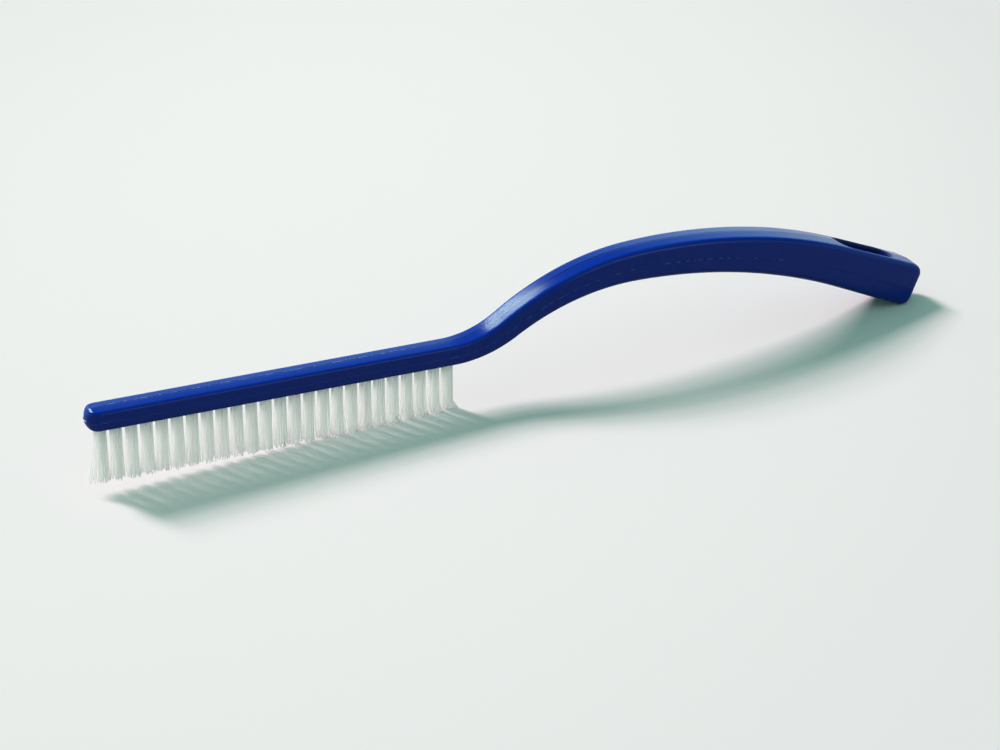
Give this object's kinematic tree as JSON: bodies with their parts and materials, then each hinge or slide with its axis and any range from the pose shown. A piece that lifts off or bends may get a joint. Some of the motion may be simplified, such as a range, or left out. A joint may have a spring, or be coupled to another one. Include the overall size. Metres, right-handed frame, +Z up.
{
  "type": "crevice brush",
  "caption": "Narrow crevice cleaning brush: a slim straight head with a single row of bristle tufts, an S-shaped neck and a bowed grip with a hang slot.",
  "frame": {"origin": "on the surface that the brush lies on, below the middle of its bounding box and on its plane of symmetry", "axes": "+X runs from the nose towards the end of the handle, +Z is up as the brush lies at rest, and the brush is the same on both sides of the XZ plane"},
  "size_m": [0.3182, 0.015, 0.045],
  "materials": {
    "handle_plastic": "satin moulded polypropylene",
    "bristle_filament": "white polyester filament",
    "anchor_wire": "flat drawn wire"
  },
  "bodies": {
    "root": {"handle_body": "handle_plastic", "tuft_01": "bristle_filament", "tuft_02": "bristle_filament", "tuft_03": "bristle_filament", "tuft_04": "bristle_filament", "tuft_05": "bristle_filament", "tuft_06": "bristle_filament", "tuft_07": "bristle_filament", "tuft_08": "bristle_filament", "tuft_09": "bristle_filament", "tuft_10": "bristle_filament", "tuft_11": "bristle_filament", "tuft_12": "bristle_filament", "tuft_13": "bristle_filament", "tuft_14": "bristle_filament", "tuft_15": "bristle_filament", "tuft_16": "bristle_filament", "tuft_17": "bristle_filament", "tuft_18": "bristle_filament", "tuft_19": "bristle_filament", "tuft_20": "bristle_filament", "tuft_21": "bristle_filament", "tuft_22": "bristle_filament", "tuft_23": "bristle_filament", "tuft_24": "bristle_filament", "tuft_25": "bristle_filament", "anchor_01": "anchor_wire", "anchor_02": "anchor_wire", "anchor_03": "anchor_wire", "anchor_04": "anchor_wire", "anchor_05": "anchor_wire", "anchor_06": "anchor_wire", "anchor_07": "anchor_wire", "anchor_08": "anchor_wire", "anchor_09": "anchor_wire", "anchor_10": "anchor_wire", "anchor_11": "anchor_wire", "anchor_12": "anchor_wire", "anchor_13": "anchor_wire", "anchor_14": "anchor_wire", "anchor_15": "anchor_wire", "anchor_16": "anchor_wire", "anchor_17": "anchor_wire", "anchor_18": "anchor_wire", "anchor_19": "anchor_wire", "anchor_20": "anchor_wire", "anchor_21": "anchor_wire", "anchor_22": "anchor_wire", "anchor_23": "anchor_wire", "anchor_24": "anchor_wire", "anchor_25": "anchor_wire"}
  },
  "joints": []
}
